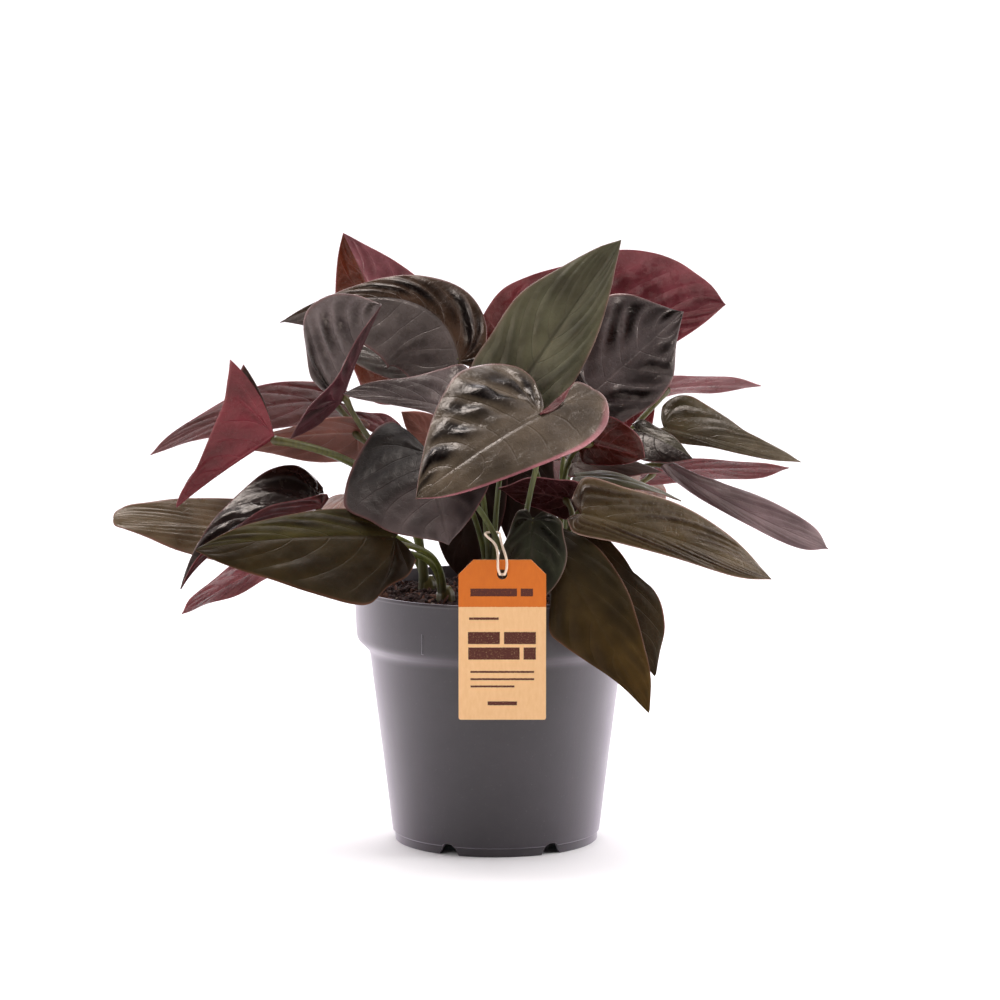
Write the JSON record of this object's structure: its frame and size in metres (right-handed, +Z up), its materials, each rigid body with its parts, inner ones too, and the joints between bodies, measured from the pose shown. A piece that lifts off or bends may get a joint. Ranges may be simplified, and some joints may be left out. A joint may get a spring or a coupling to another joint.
{
  "type": "potted syngonium plant",
  "caption": "Dark-leaved climbing aroid with arrow-shaped and heart-shaped blades on slender stalks, in a round grow pot filled with soil, with a blank tag on an elastic loop.",
  "frame": {"origin": "centre of the pot's foot ring, on the plane the pot stands on", "axes": "+Z up along the pot's axis, -Y toward the side with the tag, +X to the right as seen from that side"},
  "size_m": [0.3002, 0.1966, 0.2541],
  "materials": {
    "pot": "satin",
    "soil": "matte",
    "tag_card": "matte",
    "tag_elastic": "matte",
    "stalk": "satin",
    "leaf_black": "gloss",
    "leaf_silver": "gloss",
    "leaf_green": "satin",
    "leaf_olive": "satin",
    "leaf_brown": "satin",
    "leaf_red": "satin",
    "leaf_pink": "satin"
  },
  "bodies": {
    "root": {"pot": "pot", "soil": "soil", "tag_card": "tag_card", "tag_elastic": "tag_elastic", "stalks_front": "stalk", "stalks_left_front": "stalk", "stalks_left": "stalk", "stalks_middle": "stalk", "stalks_right_front": "stalk", "stalks_right": "stalk", "stalks_back": "stalk", "blade_front_heart": "leaf_black", "blade_top_green": "leaf_green", "blade_top_right_red": "leaf_red", "blade_right_dark": "leaf_silver", "blade_left_arching": "leaf_silver", "blade_left_under_strip": "leaf_silver", "blade_left_silver": "leaf_silver", "blade_left_red_arrow": "leaf_red", "blade_left_mauve": "leaf_pink", "blade_left_olive_under": "leaf_brown", "blade_far_left_long": "leaf_brown", "blade_left_folded_black": "leaf_black", "blade_front_left_big": "leaf_olive", "blade_low_left_red": "leaf_red", "blade_centre_black": "leaf_black", "blade_narrow_grey": "leaf_silver", "blade_low_right_big": "leaf_olive", "blade_low_right_behind": "leaf_brown", "blade_small_above_tag": "leaf_green", "blade_right_long": "leaf_brown", "blade_far_right_twisted": "leaf_pink", "blade_right_thin_red": "leaf_red", "blade_right_olive": "leaf_olive", "blade_right_thin_pink": "leaf_pink", "blade_right_small_dark": "leaf_black", "blade_right_amber": "leaf_red", "blade_right_dark_red": "leaf_red", "blade_centre_purple": "leaf_pink", "blade_right_strip": "leaf_green", "blade_centre_mauve": "leaf_pink", "blade_top_left_red": "leaf_red", "blade_left_crumpled": "leaf_pink", "blade_left_amber": "leaf_brown", "blade_back_left": "leaf_black", "blade_back_middle": "leaf_black", "blade_back_right": "leaf_olive", "blade_back_far_left": "leaf_olive", "blade_back_upright": "leaf_red", "blade_back_low_left": "leaf_black", "blade_back_low_right": "leaf_black", "blade_back_inner": "leaf_black"}
  },
  "joints": []
}
